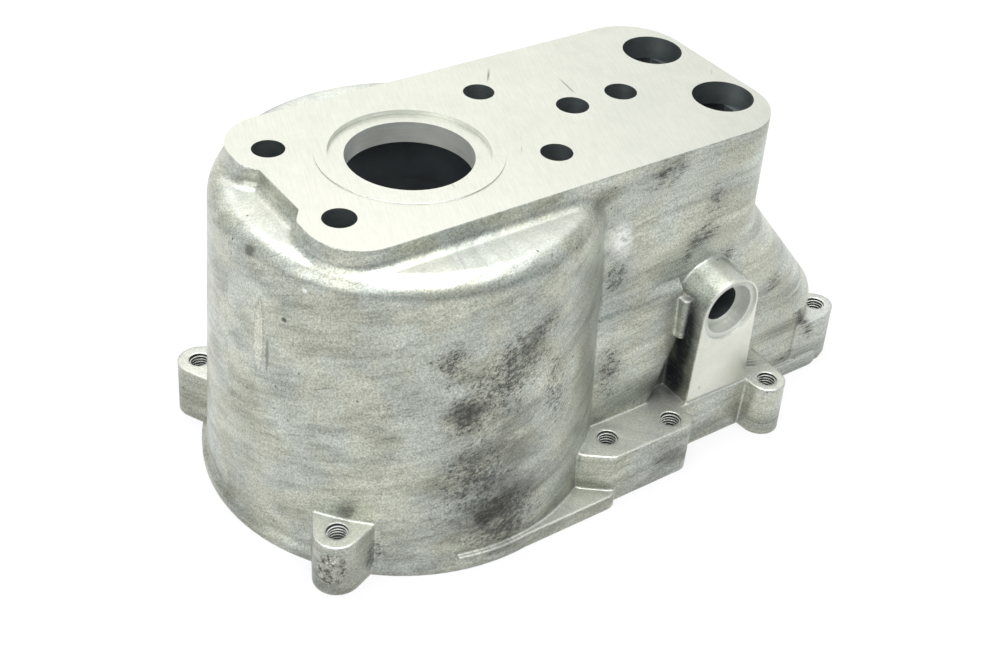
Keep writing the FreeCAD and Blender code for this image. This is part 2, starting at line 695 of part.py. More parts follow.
def check_and_write(parts):
    """Stop on any failed object or bad shape, then write each part to its own file."""
    document.recompute()
    for item in document.Objects:
        failures = {"Invalid", "Error"} & set(item.State)
        if failures:
            raise RuntimeError(f"{item.Name}: {failures}")
    for item in parts:
        if item.Shape.isNull() or not item.Shape.isValid() or len(item.Shape.Solids) != 1:
            raise RuntimeError(f"{item.Label}: not one valid solid")
    os.makedirs("parts", exist_ok=True)
    for item in parts:
        item.Shape.exportStep(f"parts/{item.Label}.step")
        print(item.Label, item.Shape.BoundBox, f"{item.Shape.Volume / 1000:.1f} cm3")


check_and_write([housing()])
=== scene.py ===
"""Looks of the die cast gear housing: one aluminium casting on a white studio floor.

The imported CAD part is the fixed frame. The casting is copied from its node, its faces are sorted into
the finishes that casting and machining leave, and the details that only show close up are added:
threads in the tapped holes, the broken gate on a lug and the flow mark on the drum.
"""

import json
import logging
import math
from dataclasses import dataclass, field
from enum import Enum

import bmesh
import bpy
import numpy as np
from mathutils import Matrix, Vector, noise
from mathutils.bvhtree import BVHTree

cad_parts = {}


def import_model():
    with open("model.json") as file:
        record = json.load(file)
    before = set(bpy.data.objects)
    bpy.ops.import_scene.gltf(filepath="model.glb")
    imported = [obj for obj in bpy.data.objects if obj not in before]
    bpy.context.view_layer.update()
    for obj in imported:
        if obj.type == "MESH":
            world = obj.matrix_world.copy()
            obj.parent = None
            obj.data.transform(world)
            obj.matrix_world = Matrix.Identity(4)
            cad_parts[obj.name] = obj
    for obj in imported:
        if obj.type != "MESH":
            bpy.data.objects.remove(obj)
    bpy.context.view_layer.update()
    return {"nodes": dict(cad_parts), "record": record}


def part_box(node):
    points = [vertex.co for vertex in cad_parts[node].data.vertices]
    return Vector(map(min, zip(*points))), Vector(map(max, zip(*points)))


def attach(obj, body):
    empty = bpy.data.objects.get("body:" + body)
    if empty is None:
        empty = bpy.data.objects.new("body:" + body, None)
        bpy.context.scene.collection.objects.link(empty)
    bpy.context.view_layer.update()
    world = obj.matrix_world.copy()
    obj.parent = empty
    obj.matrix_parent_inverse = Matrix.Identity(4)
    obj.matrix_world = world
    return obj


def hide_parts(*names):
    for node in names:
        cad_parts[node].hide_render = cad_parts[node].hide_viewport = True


log = logging.getLogger("housing")

MM = 0.001
BODY = "root"
NODE = "housing"


class Skin(Enum):
    """How a face of the casting was made, or that it lies inside in painted shade, in the order of its material
    slots.
    """

    CAST = 0
    MILLED = 1
    TURNED = 2
    DRILLED = 3
    INSIDE = 4


# ---------------------------------------------------------------- colours and node trees

Tree, Node, Socket = bpy.types.NodeTree, bpy.types.Node, bpy.types.NodeSocket
Triple = tuple[float, float, float]

# kinds of node and settings that the finishes use again and again
MATH, RANGE, MIX, NOISE = "ShaderNodeMath", "ShaderNodeMapRange", "ShaderNodeMix", "ShaderNodeTexNoise"
VECTOR, SPLIT, JOIN = "ShaderNodeVectorMath", "ShaderNodeSeparateXYZ", "ShaderNodeCombineXYZ"
BUMP, SURFACE, NORMAL = "ShaderNodeBump", "ShaderNodeBsdfPrincipled", "ShaderNodeNewGeometry"
TIMES, PLUS, LESS = {"operation": "MULTIPLY"}, {"operation": "ADD"}, {"operation": "SUBTRACT"}
LARGER, DOT, LENGTH = {"operation": "MAXIMUM"}, {"operation": "DOT_PRODUCT"}, {"operation": "LENGTH"}
SMOOTH = {"interpolation_type": "SMOOTHSTEP"}
COLOURS = {"data_type": "RGBA"}
SHADED = {"data_type": "RGBA", "blend_type": "MULTIPLY"}


def linear(code: str) -> tuple[float, float, float, float]:
    """Turn an sRGB hex colour into the linear colour that nodes take.

    Args:
        code: Six hex digits after a hash sign.

    Returns:
        Red, green, blue and an alpha of 1.
    """
    parts = [int(code[i : i + 2], 16) / 255 for i in (1, 3, 5)]
    red, green, blue = [c / 12.92 if c <= 0.04045 else ((c + 0.055) / 1.055) ** 2.4 for c in parts]
    return red, green, blue, 1.0


def add(tree: Tree, kind: str, settings: dict | None = None, *inputs: object, **links: object) -> Node:
    """Add a node with its settings, and link or set its inputs.

    Args:
        tree: The shader or geometry tree.
        kind: The node's bl_idname.
        settings: Properties of the node to set.
        inputs: The inputs that the settings leave in use, in order; each is a value, a socket or a node,
            which stands for its first output in use.
        links: Inputs by name, with underscores for spaces.

    Returns:
        The new node.
    """
    node = tree.nodes.new(kind)
    for key, value in (settings or {}).items():
        setattr(node, key, value)
    used = [socket for socket in node.inputs if socket.enabled]
    wanted = list(zip(used, inputs))
    wanted += [(node.inputs[key.replace("_", " ")], value) for key, value in links.items()]
    for socket, value in wanted:
        if isinstance(value, Node):
            value = next(output for output in value.outputs if output.enabled)
        if isinstance(value, Socket):
            tree.links.new(value, socket)
        else:
            socket.default_value = value
    return node


# ---------------------------------------------------------------- finishes


@dataclass(frozen=True)
class Patch:
    """A stained or worn place, or one painted with shade: an ellipsoid in millimetres that leans about Y, with
    a broken edge.
    """

    centre: Triple
    reach: Triple
    strength: float = 1.0
    lean: float = 0.0


class Finish:
    """What every finish shares: a metal shader on Object coordinates, with the pattern in millimetres."""

    name = "finish"

    def material(self) -> bpy.types.Material:
        """Build the material and let the finish fill its tree.

        Returns:
            The material.
        """
        made = bpy.data.materials.new(self.name)
        made.use_nodes = True
        tree = made.node_tree
        tree.nodes.clear()
        place = add(tree, "ShaderNodeTexCoord").outputs["Object"]
        place = add(tree, VECTOR, {"operation": "SCALE"}, place, 1 / MM).outputs[0]
        add(tree, "ShaderNodeOutputMaterial", None, self.shader(tree, place))
        return made

    def shader(self, tree: Tree, place: Socket) -> Node:
        """Fill the tree.

        Args:
            tree: The material's tree.
            place: Object coordinates in millimetres.

        Returns:
            The shader node of the surface.
        """
        raise NotImplementedError

    @staticmethod
    def stretched(tree: Tree, place: Socket | Node, turn: Triple, scale: Triple) -> Node:
        """Turn the coordinates and then stretch them, for streaks and scratches along one direction.

        Args:
            tree: The material's tree.
            place: Coordinates in millimetres.
            turn: Angles in radians.
            scale: Factors along the turned axes.

        Returns:
            The node of the changed coordinates.
        """
        turned = add(tree, "ShaderNodeMapping", None, Vector=place, Rotation=turn)
        return add(tree, "ShaderNodeMapping", None, Vector=turned, Scale=scale)

    def patches(self, tree: Tree, place: Socket, spots: tuple[Patch, ...], soft: float) -> Node:
        """Mask of a set of patches.

        Args:
            tree: The material's tree.
            place: Coordinates in millimetres.
            spots: The patches.
            soft: Where inside the ellipsoid the mask starts to fall.

        Returns:
            The node whose value runs from 0 to 1.
        """
        total: object = 0.0
        for spot in spots:
            moved = add(tree, VECTOR, LESS, place, spot.centre)
            scale = tuple(1 / r for r in spot.reach)
            near = self.stretched(tree, moved, (0.0, math.radians(spot.lean), 0.0), scale)
            length = add(tree, VECTOR, LENGTH, near)
            mask = add(tree, RANGE, SMOOTH, length, soft, 1.0, spot.strength, 0.0)
            total = add(tree, MATH, LARGER, mask, total)
        return total


@dataclass(frozen=True)
class Patterns:
    """The noises of the cast skin that its colour, dirt and relief share."""

    height: Socket
    clouds: Node
    mottle: Node
    fine: Node
    speck: Node
    wiped: Node
    hair: Node


@dataclass(frozen=True)
class CastSkin(Finish):
    """Aluminium as die cast, left as it leaves the die.

    The eye gets a dull silver that is cloudy rather than even, wiped in streaks, with small pits, smoky
    and black stains and spots worn bright, with painted highlights on its edges and upward faces and
    painted shade near its foot, in a crease and in a strip behind a lug.
    """

    name: str = "die_cast_aluminium_as_cast_and_painted_light"
    pale: str = "#C9CBC1"
    body: str = "#B0B2A9"
    dull: str = "#7C7E74"
    stain_and_shade: str = "#3B3A33"
    soot_and_shade: str = "#15171A"
    polished_and_painted_light: str = "#ECEDE8"
    cool: str = "#F9FDFF"
    warm: str = "#FFFEF8"
    # widths of the lumps, streaks and pits
    mottle_mm: float = 9.0
    cloud_mm: float = 26.0
    dried_mm: float = 17.0
    wipe_mm: float = 2.4
    hair_mm: float = 0.8
    speck_mm: float = 1.15
    grain_mm: float = 0.55
    pit_mm: float = 1.3
    lump_mm: float = 5.0
    wave_mm: float = 4.0
    group_mm: float = 12.0
    # round the drum and over the foot, whose painted shade ends at the second height
    drum_radius_mm: float = 55.0
    foot_shade_mm: tuple[float, float] = (-96.0, -78.0)
    roughness: float = 0.33
    bevel_mm: float = 1.2
    # smoky films, with painted shade among them: darker places low down near the floor and a painted shadow
    # strip behind the drum lug's top
    veils_and_shade: tuple[Patch, ...] = (
        Patch((-6.0, -54.0, -64.0), (27.0, 20.0, 46.0), 0.6, 15.0),
        Patch((-12.0, -54.0, -76.0), (24.0, 16.0, 24.0), 0.62, 20.0),
        Patch((-5.0, -56.0, -82.0), (26.0, 18.0, 32.0), 1.0),
        Patch((99.0, -46.0, -88.0), (10.0, 10.0, 14.0), 0.8),
        Patch((62.0, -55.0, -90.0), (24.0, 10.0, 11.0), 0.7),
        Patch((120.0, -38.0, -76.0), (16.0, 10.0, 22.0), 0.42),
        Patch((-12.0, -53.0, -44.0), (14.0, 12.0, 12.0), 0.7, 42.0),
        Patch((5.0, -54.0, -27.0), (13.0, 12.0, 7.0), 0.55, 40.0),
        Patch((-34.0, -46.0, -50.0), (16.0, 16.0, 12.0), 0.25, 10.0),
        Patch((36.0, -36.0, -5.0), (12.0, 9.0, 5.0), 0.6),
        Patch((62.0, -42.0, -75.0), (10.0, 8.0, 11.0), 0.75),
        # painted shadow: the dark strip behind the drum lug's top
        Patch((-44.0, -39.5, -78.5), (8.0, 5.0, 4.0), 0.7),
        Patch((44.0, -42.0, -78.0), (18.0, 8.0, 9.0), 0.4),
    )
    # crumbling black stains
    stains: tuple[Patch, ...] = (
        Patch((-3.0, -54.0, -36.0), (30.0, 20.0, 18.0), 0.8, 40.0),
        Patch((-14.0, -53.0, -45.0), (13.0, 14.0, 11.0), 0.85, 45.0),
        Patch((-18.0, -52.0, -29.0), (9.0, 12.0, 12.0), 0.72),
        Patch((8.0, -54.0, -26.0), (13.0, 12.0, 9.0), 0.6, 40.0),
        Patch((-11.0, -55.0, -68.0), (20.0, 14.0, 30.0), 0.72),
        Patch((-3.0, -56.0, -84.0), (22.0, 14.0, 20.0), 0.95),
        Patch((14.0, -54.0, -48.0), (9.0, 12.0, 24.0), 0.55, 10.0),
        Patch((-33.0, -46.0, -44.0), (16.0, 16.0, 12.0), 0.34),
        Patch((61.0, -36.0, -4.0), (14.0, 8.0, 8.0), 0.68, 20.0),
        Patch((77.0, -36.0, -29.0), (12.0, 6.0, 7.5), 0.78, 30.0),
        Patch((71.0, -36.0, -35.5), (6.0, 6.0, 6.0), 0.7),
        Patch((80.0, -36.0, -18.0), (7.0, 6.0, 13.0), 0.5),
        Patch((88.0, -36.0, -40.0), (6.0, 6.0, 7.0), 0.55),
        Patch((46.0, -36.0, -33.0), (7.0, 6.0, 8.0), 0.75),
        Patch((111.0, -36.5, -58.0), (12.0, 6.0, 6.0), 0.6, 10.0),
        # darker in a diagonal streak where the end wall meets the lug
        Patch((129.0, -37.0, -80.0), (5.0, 8.0, 15.0), 0.85, 35.0),
        Patch((122.0, -38.0, -90.0), (9.0, 6.0, 7.0), 0.6),
        Patch((99.0, -43.0, -80.5), (7.0, 6.0, 5.0), 0.7),
        Patch((44.0, -40.5, -64.0), (8.0, 8.0, 22.0), 0.55),
        Patch((-36.5, -46.0, -90.0), (6.0, 6.0, 8.0), 0.7),
        # painted shade near the floor, along the neck's base and the ledge's front, drawn like the stains
        Patch((84.0, -44.0, -93.0), (18.0, 6.0, 7.0), 0.4),
        Patch((58.0, -57.0, -90.0), (16.0, 5.0, 8.0), 0.42),
    )
    # burnt-on carbon, and painted shade: the long spots left of the pad blacken the crease beside its flank
    soot_and_crease_shade: tuple[Patch, ...] = (
        Patch((-51.8, -9.1, -7.8), (2.2, 2.6, 2.2), 0.75),
        # painted shade: black in the crease between the rib and the pad's left flank
        Patch((70.7, -42.5, -60.0), (2.6, 6.0, 26.0), 1.0),
        Patch((69.5, -41.5, -74.0), (5.5, 7.5, 13.0), 1.0),
        Patch((64.5, -40.0, -77.0), (6.5, 5.0, 7.0), 0.75),
        Patch((-49.4, -21.8, -22.0), (0.9, 1.2, 1.0), 0.8),
        Patch((-52.3, -16.9, -35.5), (2.0, 0.8, 8.0), 0.45),
    )
    # places knocked or rubbed down to bright metal
    worn: tuple[Patch, ...] = (
        Patch((46.5, -36.2, -21.0), (5.5, 5.0, 8.0), 0.95, 20.0),
        Patch((-46.2, -26.9, -11.0), (1.0, 1.2, 1.0), 0.9),
    )

    def patterns(self, tree: Tree, place: Socket) -> Patterns:
        """Lay out the noises, with the streaks running round the drum as wiping and the metal's flow do.

        Args:
            tree: The material's tree.
            place: Coordinates in millimetres.

        Returns:
            The noises.
        """
        x, y, height = add(tree, SPLIT, None, place).outputs
        angle = add(tree, MATH, {"operation": "ARCTAN2"}, y, x)
        arc = add(tree, MATH, TIMES, angle, self.drum_radius_mm)
        around = add(tree, JOIN, None, arc, height, 0.0)
        # each pattern's streaks by their lean in degrees and by how far they are drawn out
        drawn = {"mottle": (-12, 0.5), "speck": (-30, 0.6), "wiped": (-14, 0.09), "hair": (-22, 0.07)}
        streaks = {
            name: self.stretched(tree, around, (0.0, 0.0, math.radians(lean)), (squeeze, 1.0, 1.0))
            for name, (lean, squeeze) in drawn.items()
        }
        clouds = add(tree, NOISE, None, place, 1 / self.cloud_mm, 3.0, 0.5)
        mottle = add(tree, NOISE, None, streaks["mottle"], 1 / self.mottle_mm, 6.0, 0.7)
        wiped = add(tree, NOISE, None, streaks["wiped"], 1 / self.wipe_mm, 5.0, 0.75)
        hair = add(tree, NOISE, None, streaks["hair"], 1 / self.hair_mm, 2.0, 0.6)
        return Patterns(
            height=height,
            clouds=add(tree, RANGE, SMOOTH, clouds, 0.35, 0.65),
            mottle=add(tree, RANGE, SMOOTH, mottle, 0.36, 0.64),
            # grain this fine is drawn coarser than the real sand-like skin, so that it shows
            fine=add(tree, NOISE, None, place, 1 / self.grain_mm, 3.0, 0.75),
            speck=add(tree, NOISE, None, streaks["speck"], 1 / self.speck_mm, 5.0, 0.95),
            wiped=add(tree, RANGE, SMOOTH, wiped, 0.36, 0.64),
            hair=add(tree, RANGE, SMOOTH, hair, 0.62, 0.74),
        )

    def clean(self, tree: Tree, place: Socket, seen: Patterns) -> Node:
        """Colour of the skin before its dirt.

        Args:
            tree: The material's tree.
            place: Coordinates in millimetres.
            seen: The noises.

        Returns:
            The colour's node.
        """
        colour = add(tree, MIX, COLOURS, seen.clouds, linear(self.body), linear(self.pale))
        films = ((seen.mottle, 0.64, self.dull), (seen.wiped, 0.45, self.pale), (seen.hair, 0.34, self.stain_and_shade))
        for layer, share, tint in films:
            colour = add(tree, MIX, COLOURS, add(tree, MATH, TIMES, layer, share), colour, linear(tint))
        grit = add(tree, RANGE, SMOOTH, seen.fine, 0.30, 0.70, 0.66, 1.30)
        colour = add(tree, MIX, SHADED, 1.0, colour, add(tree, JOIN, None, grit, grit, grit))
        # release agent dries bluish in some places and brownish in others
        dried = add(tree, NOISE, None, place, 1 / self.dried_mm, 3.0, 0.6)
        dried = add(tree, RANGE, SMOOTH, dried, 0.40, 0.60)
        tint = add(tree, MIX, COLOURS, dried, linear(self.cool), linear(self.warm))
        return add(tree, MIX, SHADED, 1.0, colour, tint)

    def dirt(self, tree: Tree, place: Socket, seen: Patterns) -> tuple[Node, Node, Node]:
        """Masks of the stains, of the smoky films and painted shade round them, and of the painted light on
        surfaces that look up.

        Args:
            tree: The material's tree.
            place: Coordinates in millimetres.
            seen: The noises.

        Returns:
            The nodes of the stains broken into specks, of the films with their painted shade, and of the
            painted light on level surfaces.
        """
        # the specks close up where the mask is high, so each edge crumbles
        stained = self.patches(tree, place, self.stains, 0.0)
        lumps = add(tree, RANGE, SMOOTH, add(tree, NOISE, None, place, 1 / self.lump_mm, 4.0, 0.7), 0.34, 0.6)
        lumps = add(tree, MATH, PLUS, add(tree, MATH, TIMES, lumps, 0.5), 0.5)
        stained = add(tree, MATH, TIMES, stained, lumps)
        broken = add(tree, MATH, PLUS, seen.speck, add(tree, MATH, TIMES, stained, 0.215))
        broken = add(tree, RANGE, SMOOTH, broken, 0.585, 0.68)
        broken = add(tree, MATH, TIMES, broken, add(tree, RANGE, SMOOTH, stained, 0.02, 0.35))
        uneven = add(tree, RANGE, SMOOTH, seen.mottle, 0.0, 1.0, 0.5, 1.0)
        # the veils lay smoky films and also painted shade: a shadow strip behind a lug and darker places near
        # the floor
        film_and_shade = add(tree, MATH, TIMES, self.patches(tree, place, self.veils_and_shade, 0.0), uneven)
        film_and_shade = add(tree, MATH, LARGER, add(tree, MATH, TIMES, stained, 0.45), film_and_shade)
        # painted shade: the walls get darker towards the foot of the casting, near the floor
        upward = add(tree, SPLIT, None, add(tree, NORMAL).outputs["Normal"]).outputs[2]
        upright = add(tree, RANGE, SMOOTH, upward, 0.90, 0.99, 1.0, 0.0)
        foot = add(tree, RANGE, SMOOTH, seen.height, *self.foot_shade_mm, 0.36, 0.0)
        foot = add(tree, MATH, TIMES, foot, add(tree, RANGE, SMOOTH, seen.mottle, 0.0, 1.0, 0.6, 1.0))
        film_and_shade = add(tree, MATH, LARGER, film_and_shade, add(tree, MATH, TIMES, foot, upright))
        # painted light: faces that look up are lightened toward the bright metal colour
        level = add(tree, MATH, TIMES, add(tree, MATH, LESS, 1.0, upright), 0.3)
        return broken, film_and_shade, level

    def pits(self, tree: Tree, place: Socket) -> Node:
        """Mask of small dark pits in loose groups.

        Args:
            tree: The material's tree.
            place: Coordinates in millimetres.

        Returns:
            The mask's node.
        """
        apart = 3.6 * self.pit_mm
        lone = add(tree, "ShaderNodeTexVoronoi", {"feature": "F1"}, Vector=place, Scale=1 / apart)
        some = add(tree, RANGE, SMOOTH, add(tree, NOISE, None, place, 1 / self.group_mm, 3.0), 0.50, 0.60)
        return add(tree, MATH, TIMES, add(tree, RANGE, SMOOTH, lone, 0.05, 0.11, 1.0, 0.0), some)

    def rubbed_and_edge_highlight(self, tree: Tree, place: Socket, seen: Patterns, soft: Node, soot_and_shade: Node) -> Node:
        """Mask of the painted edge highlight and of places handling wore bright, where no black or painted
        shade lies.

        Args:
            tree: The material's tree.
            place: Coordinates in millimetres.
            seen: The noises.
            soft: The normal with its corners blended.
            soot_and_shade: The mask of burnt-on black and of the painted shade in a crease.

        Returns:
            The mask's node.
        """
        # painted highlight: every edge, convex and concave alike, is lightened toward the bright metal colour
        turn = add(tree, VECTOR, DOT, soft, add(tree, NORMAL).outputs["Normal"])
        edge = add(tree, RANGE, SMOOTH, turn, 0.88, 0.99, 1.0, 0.0)
        edge = add(tree, MATH, TIMES, edge, add(tree, RANGE, SMOOTH, seen.fine, 0.35, 0.6, 0.4, 0.9))
        worn = self.patches(tree, place, self.worn, 0.2)
        worn = add(tree, MATH, TIMES, worn, add(tree, RANGE, SMOOTH, seen.speck, 0.42, 0.52))
        bright = add(tree, MATH, LARGER, add(tree, MATH, TIMES, edge, 0.5), worn)
        return add(tree, MATH, TIMES, bright, add(tree, MATH, LESS, 1.0, soot_and_shade))

    def shader(self, tree: Tree, place: Socket) -> Node:
        """Lay dirt, pits, worn spots and painted light and shade over the clean skin, and give it its relief.

        Args:
            tree: The material's tree.
            place: Coordinates in millimetres.

        Returns:
            The shader node of the surface.
        """
        seen = self.patterns(tree, place)
        broken, film_and_shade, level = self.dirt(tree, place, seen)
        pits = self.pits(tree, place)
        # burnt-on black, with the painted shade in the crease left of the pad
        soot_and_shade = self.patches(tree, place, self.soot_and_crease_shade, 0.35)
        soot_and_shade = add(tree, MATH, TIMES, soot_and_shade, add(tree, RANGE, SMOOTH, seen.speck, 0.30, 0.5, 0.7, 1.0))
        # corners look blended, as the die leaves them
        soft = add(tree, "ShaderNodeBevel", {"samples": 6}, Radius=self.bevel_mm * MM)

        # painted light on faces that look up and along edges, and painted shade in the films and a crease,
        # among the stains, pits and worn spots
        layers = (
            (level, self.polished_and_painted_light),
            (add(tree, MATH, TIMES, film_and_shade, 0.9), self.stain_and_shade),
            (add(tree, MATH, TIMES, broken, 0.78), self.soot_and_shade),
            (add(tree, MATH, TIMES, pits, 0.7), self.soot_and_shade),
            (soot_and_shade, self.soot_and_shade),
            (self.rubbed_and_edge_highlight(tree, place, seen, soft, soot_and_shade), self.polished_and_painted_light),
        )
        colour = self.clean(tree, place, seen)
        for mask, tint in layers:
            colour = add(tree, MIX, COLOURS, mask, colour, linear(tint))

        # dirt and the places painted with shade are rougher than the skin and no metal
        dirt_and_shade = add(tree, MATH, LARGER, add(tree, MATH, TIMES, broken, 0.95), film_and_shade)
        dirt_and_shade = add(tree, MATH, LARGER, dirt_and_shade, soot_and_shade)
        rough = add(tree, MATH, PLUS, add(tree, MATH, TIMES, seen.mottle, 0.08), self.roughness - 0.04)
        rough = add(tree, MATH, PLUS, rough, add(tree, MATH, TIMES, dirt_and_shade, 0.25))
        metal = add(tree, RANGE, SMOOTH, dirt_and_shade, 0.2, 1.0, 0.7, 0.2)

        waves = add(tree, MATH, TIMES, add(tree, NOISE, None, place, 1 / self.wave_mm, 3.0), 0.10)
        relief = add(tree, MATH, PLUS, add(tree, MATH, TIMES, seen.fine, 0.05), waves)
        sunk = add(tree, MATH, TIMES, add(tree, MATH, LARGER, pits, broken), 0.06)
        relief = add(tree, MATH, LESS, relief, sunk)
        bump = add(tree, BUMP, None, Strength=0.6, Distance=MM, Height=relief, Normal=soft)
        return add(tree, SURFACE, None, Base_Color=colour, Metallic=metal, Roughness=rough, Normal=bump)


@dataclass(frozen=True)
class Machined(Finish):
    """Bare aluminium cut by a milling cutter.

    The eye gets a nearly white, flat face with the tool's fine marks, a few scratches and dark specks.
    """

    name: str = "milled_aluminium"
    bright: str = "#E0E0D6"
    shade: str = "#D0D1C7"
    mark: str = "#6E6E6C"
    roughness: float = 0.28
    metallic: float = 0.94
    scratches: float = 0.8
    cut_mm: float = 0.5
    cut_turn: float = 20.0
    cut_scale: Triple = (1.0, 0.06, 1.0)
    cloud_mm: float = 22.0
    speck_mm: float = 0.9
    # directions in degrees and widths in millimetres of three sets of scratches
    scratch_sets: tuple[tuple[float, float], ...] = ((35.0, 1.6), (-48.0, 2.3), (8.0, 3.1))

    def spoiled(self, tree: Tree, place: Socket) -> Node:
        """Mask of the scratches and dark specks.

        Args:
            tree: The material's tree.
            place: Coordinates in millimetres.

        Returns:
            The mask's node.
        """
        marks: object = 0.0
        for degrees, size in self.scratch_sets:
            lines = self.stretched(tree, place, (0.0, 0.0, math.radians(degrees)), (1.0, 0.045, 0.3))
            line = add(tree, RANGE, SMOOTH, add(tree, NOISE, None, lines, 1 / size, 2.0, 0.5), 0.715, 0.76)
            marks = add(tree, MATH, LARGER, line, marks)
        where = add(tree, RANGE, SMOOTH, add(tree, NOISE, None, place, 1 / 18.0, 2.0), 0.48, 0.66)
        marks = add(tree, MATH, TIMES, add(tree, MATH, TIMES, marks, where), self.scratches)
        speck = add(tree, NOISE, None, place, 1 / self.speck_mm, 4.0, 0.8)
        speck = add(tree, RANGE, SMOOTH, speck, 0.70, 0.76)
        return add(tree, MATH, LARGER, marks, add(tree, MATH, TIMES, speck, 0.55))

    def shader(self, tree: Tree, place: Socket) -> Node:
        """Shade the face by its tool marks and lay the scratches over them.

        Args:
            tree: The material's tree.
            place: Coordinates in millimetres.

        Returns:
            The shader node of the surface.
        """
        clouds = add(tree, RANGE, SMOOTH, add(tree, NOISE, None, place, 1 / self.cloud_mm, 5.0, 0.62), 0.3, 0.7)
        colour = add(tree, MIX, COLOURS, clouds, linear(self.bright), linear(self.shade))
        cut_place = self.stretched(tree, place, (0.0, 0.0, math.radians(self.cut_turn)), self.cut_scale)
        cuts = add(tree, NOISE, None, cut_place, 1 / self.cut_mm, 3.0, 0.6)
        tone = add(tree, RANGE, SMOOTH, cuts, 0.3, 0.7, 0.95, 1.04)
        colour = add(tree, MIX, SHADED, 1.0, colour, add(tree, JOIN, None, tone, tone, tone))
        colour = add(tree, MIX, COLOURS, self.spoiled(tree, place), colour, linear(self.mark))
        rough = add(tree, MATH, PLUS, add(tree, MATH, TIMES, clouds, 0.08), self.roughness)
        bump = add(tree, BUMP, None, Strength=0.25, Distance=0.05 * MM, Height=cuts)
        looks = {"Metallic": self.metallic, "Roughness": rough}
        return add(tree, SURFACE, None, Base_Color=colour, Normal=bump, **looks)


@dataclass(frozen=True)
class BrokenMetal(Finish):
    """Aluminium torn where the gate broke off.

    The eye gets a coarse crystalline grey, with painted shade in each crack.
    """

    name: str = "broken_aluminium_gate"
    bright: str = "#B9BAB0"
    dark: str = "#3A3931"
    grain_mm: float = 1.6
    lump_mm: float = 1.8
    metallic: float = 0.7
    roughness: float = 0.5

    def shader(self, tree: Tree, place: Socket) -> Node:
        """Darken some lumps at random, and paint shade along each crack.

        Args:
            tree: The material's tree.
            place: Coordinates in millimetres.

        Returns:
            The shader node of the surface.
        """
        edges = {"feature": "DISTANCE_TO_EDGE"}
        cells = add(tree, "ShaderNodeTexVoronoi", edges, Vector=place, Scale=1 / self.grain_mm)
        crack_shade = add(tree, RANGE, SMOOTH, cells, 0.02, 0.10, 0.45, 0.0)
        lumps = add(tree, NOISE, None, place, 1 / self.lump_mm, 5.0, 0.8)
        dark = add(tree, MATH, LARGER, add(tree, RANGE, SMOOTH, lumps, 0.46, 0.60), crack_shade)
        dark = add(tree, MATH, TIMES, dark, 0.85)
        colour = add(tree, MIX, COLOURS, dark, linear(self.bright), linear(self.dark))
        bump = add(tree, BUMP, None, Strength=0.8, Distance=0.5 * MM, Height=lumps)
        looks = {"Metallic": self.metallic, "Roughness": self.roughness}
        return add(tree, SURFACE, None, Base_Color=colour, Normal=bump, **looks)


def finishes() -> dict[Skin, Finish]:
    """Return the finish of each kind of face."""
    return {
        Skin.CAST: CastSkin(),
        Skin.MILLED: Machined(),
        # turned walls show rings, so the tool marks run round the bore
        Skin.TURNED: Machined(
            name="turned_aluminium", bright="#DADCD5", shade="#C0C3BB", roughness=0.36, metallic=0.45,
            scratches=0.15, cut_mm=0.6, cut_scale=(0.05, 0.05, 1.0),
        ),
        # drilled walls are duller, and their dark grey is painted shade inside the holes
        Skin.DRILLED: Machined(
            name="drilled_aluminium_painted_shade", bright="#7E8586", shade="#555B5D", mark="#2B2B2A", roughness=0.45,
            metallic=0.8, scratches=0.3, cut_mm=0.7, cut_scale=(0.05, 0.05, 1.0),
        ),
        # painted shade: the cavity, the bearing seat and the tapped holes get a dark, matt grey where the shade
        # inside falls
        Skin.INSIDE: Machined(
            name="inside_painted_shade", bright="#3F4649", shade="#2C3236", mark="#121314", roughness=0.55,
            metallic=0.3, scratches=0.2, cut_mm=3.0, cut_scale=(1.0, 1.0, 1.0),
        ),
    }


# ---------------------------------------------------------------- the part's own places


@dataclass(frozen=True)
class Mount:
    """A machined place that the record names, in metres."""

    name: str
    place: Vector
    axis: Vector
    radius: float
    length: float


class Places:
    """The record's mounts, by name, with the holes of a bolt pattern one by one."""

    def __init__(self, record: dict) -> None:
        """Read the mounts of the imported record.

        Args:
            record: The part's record as packed.
        """
        self.mounts: dict[str, Mount] = {}
        for entry in record["mounts"]:
            name, place, dims = entry["name"], Vector(entry["pos_m"]), entry.get("dims") or {}
            axis = Vector(entry["axis"]).normalized()
            radius = dims.get("r_mm", dims.get("hole_r_mm", 0.0)) * MM
            spans = [dims.get("spacing_x_mm", 0.0) * MM / 2, dims.get("spacing_y_mm", 0.0) * MM / 2]
            corners = [Vector((x, y, 0)) for x in {-spans[0], spans[0]} for y in {-spans[1], spans[1]}]
            for number, corner in enumerate(corners):
                key = name if len(corners) == 1 else f"{name}_{number + 1}"
                self.mounts[key] = Mount(key, place + corner, axis, radius, dims.get("length_mm", 0.0) * MM)

    def named(self, *starts: str) -> list[Mount]:
        """Return the mounts whose names start with any of starts."""
        return [m for m in self.mounts.values() if m.name.startswith(starts)]

    def tapped(self) -> list[Mount]:
        """Return the tapped holes."""
        return [m for m in self.mounts.values() if "lug" in m.name or "ledge" in m.name]


# ---------------------------------------------------------------- meshes


def new_piece(
    name: str, mesh: bpy.types.Mesh, material: bpy.types.Material | None = None
) -> bpy.types.Object:
    """Link a finished mesh as a piece of the housing that rides on its body.

    Args:
        name: Name of the piece.
        mesh: Its mesh, in the part's frame.
        material: Its finish, where it has only one.

    Returns:
        The piece.
    """
    piece = bpy.data.objects.new(name, mesh)
    bpy.context.scene.collection.objects.link(piece)
    if material is not None:
        mesh.materials.clear()
        mesh.materials.append(material)
    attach(piece, BODY)
    log.info("%s: %d faces", name, len(mesh.polygons))
    return piece


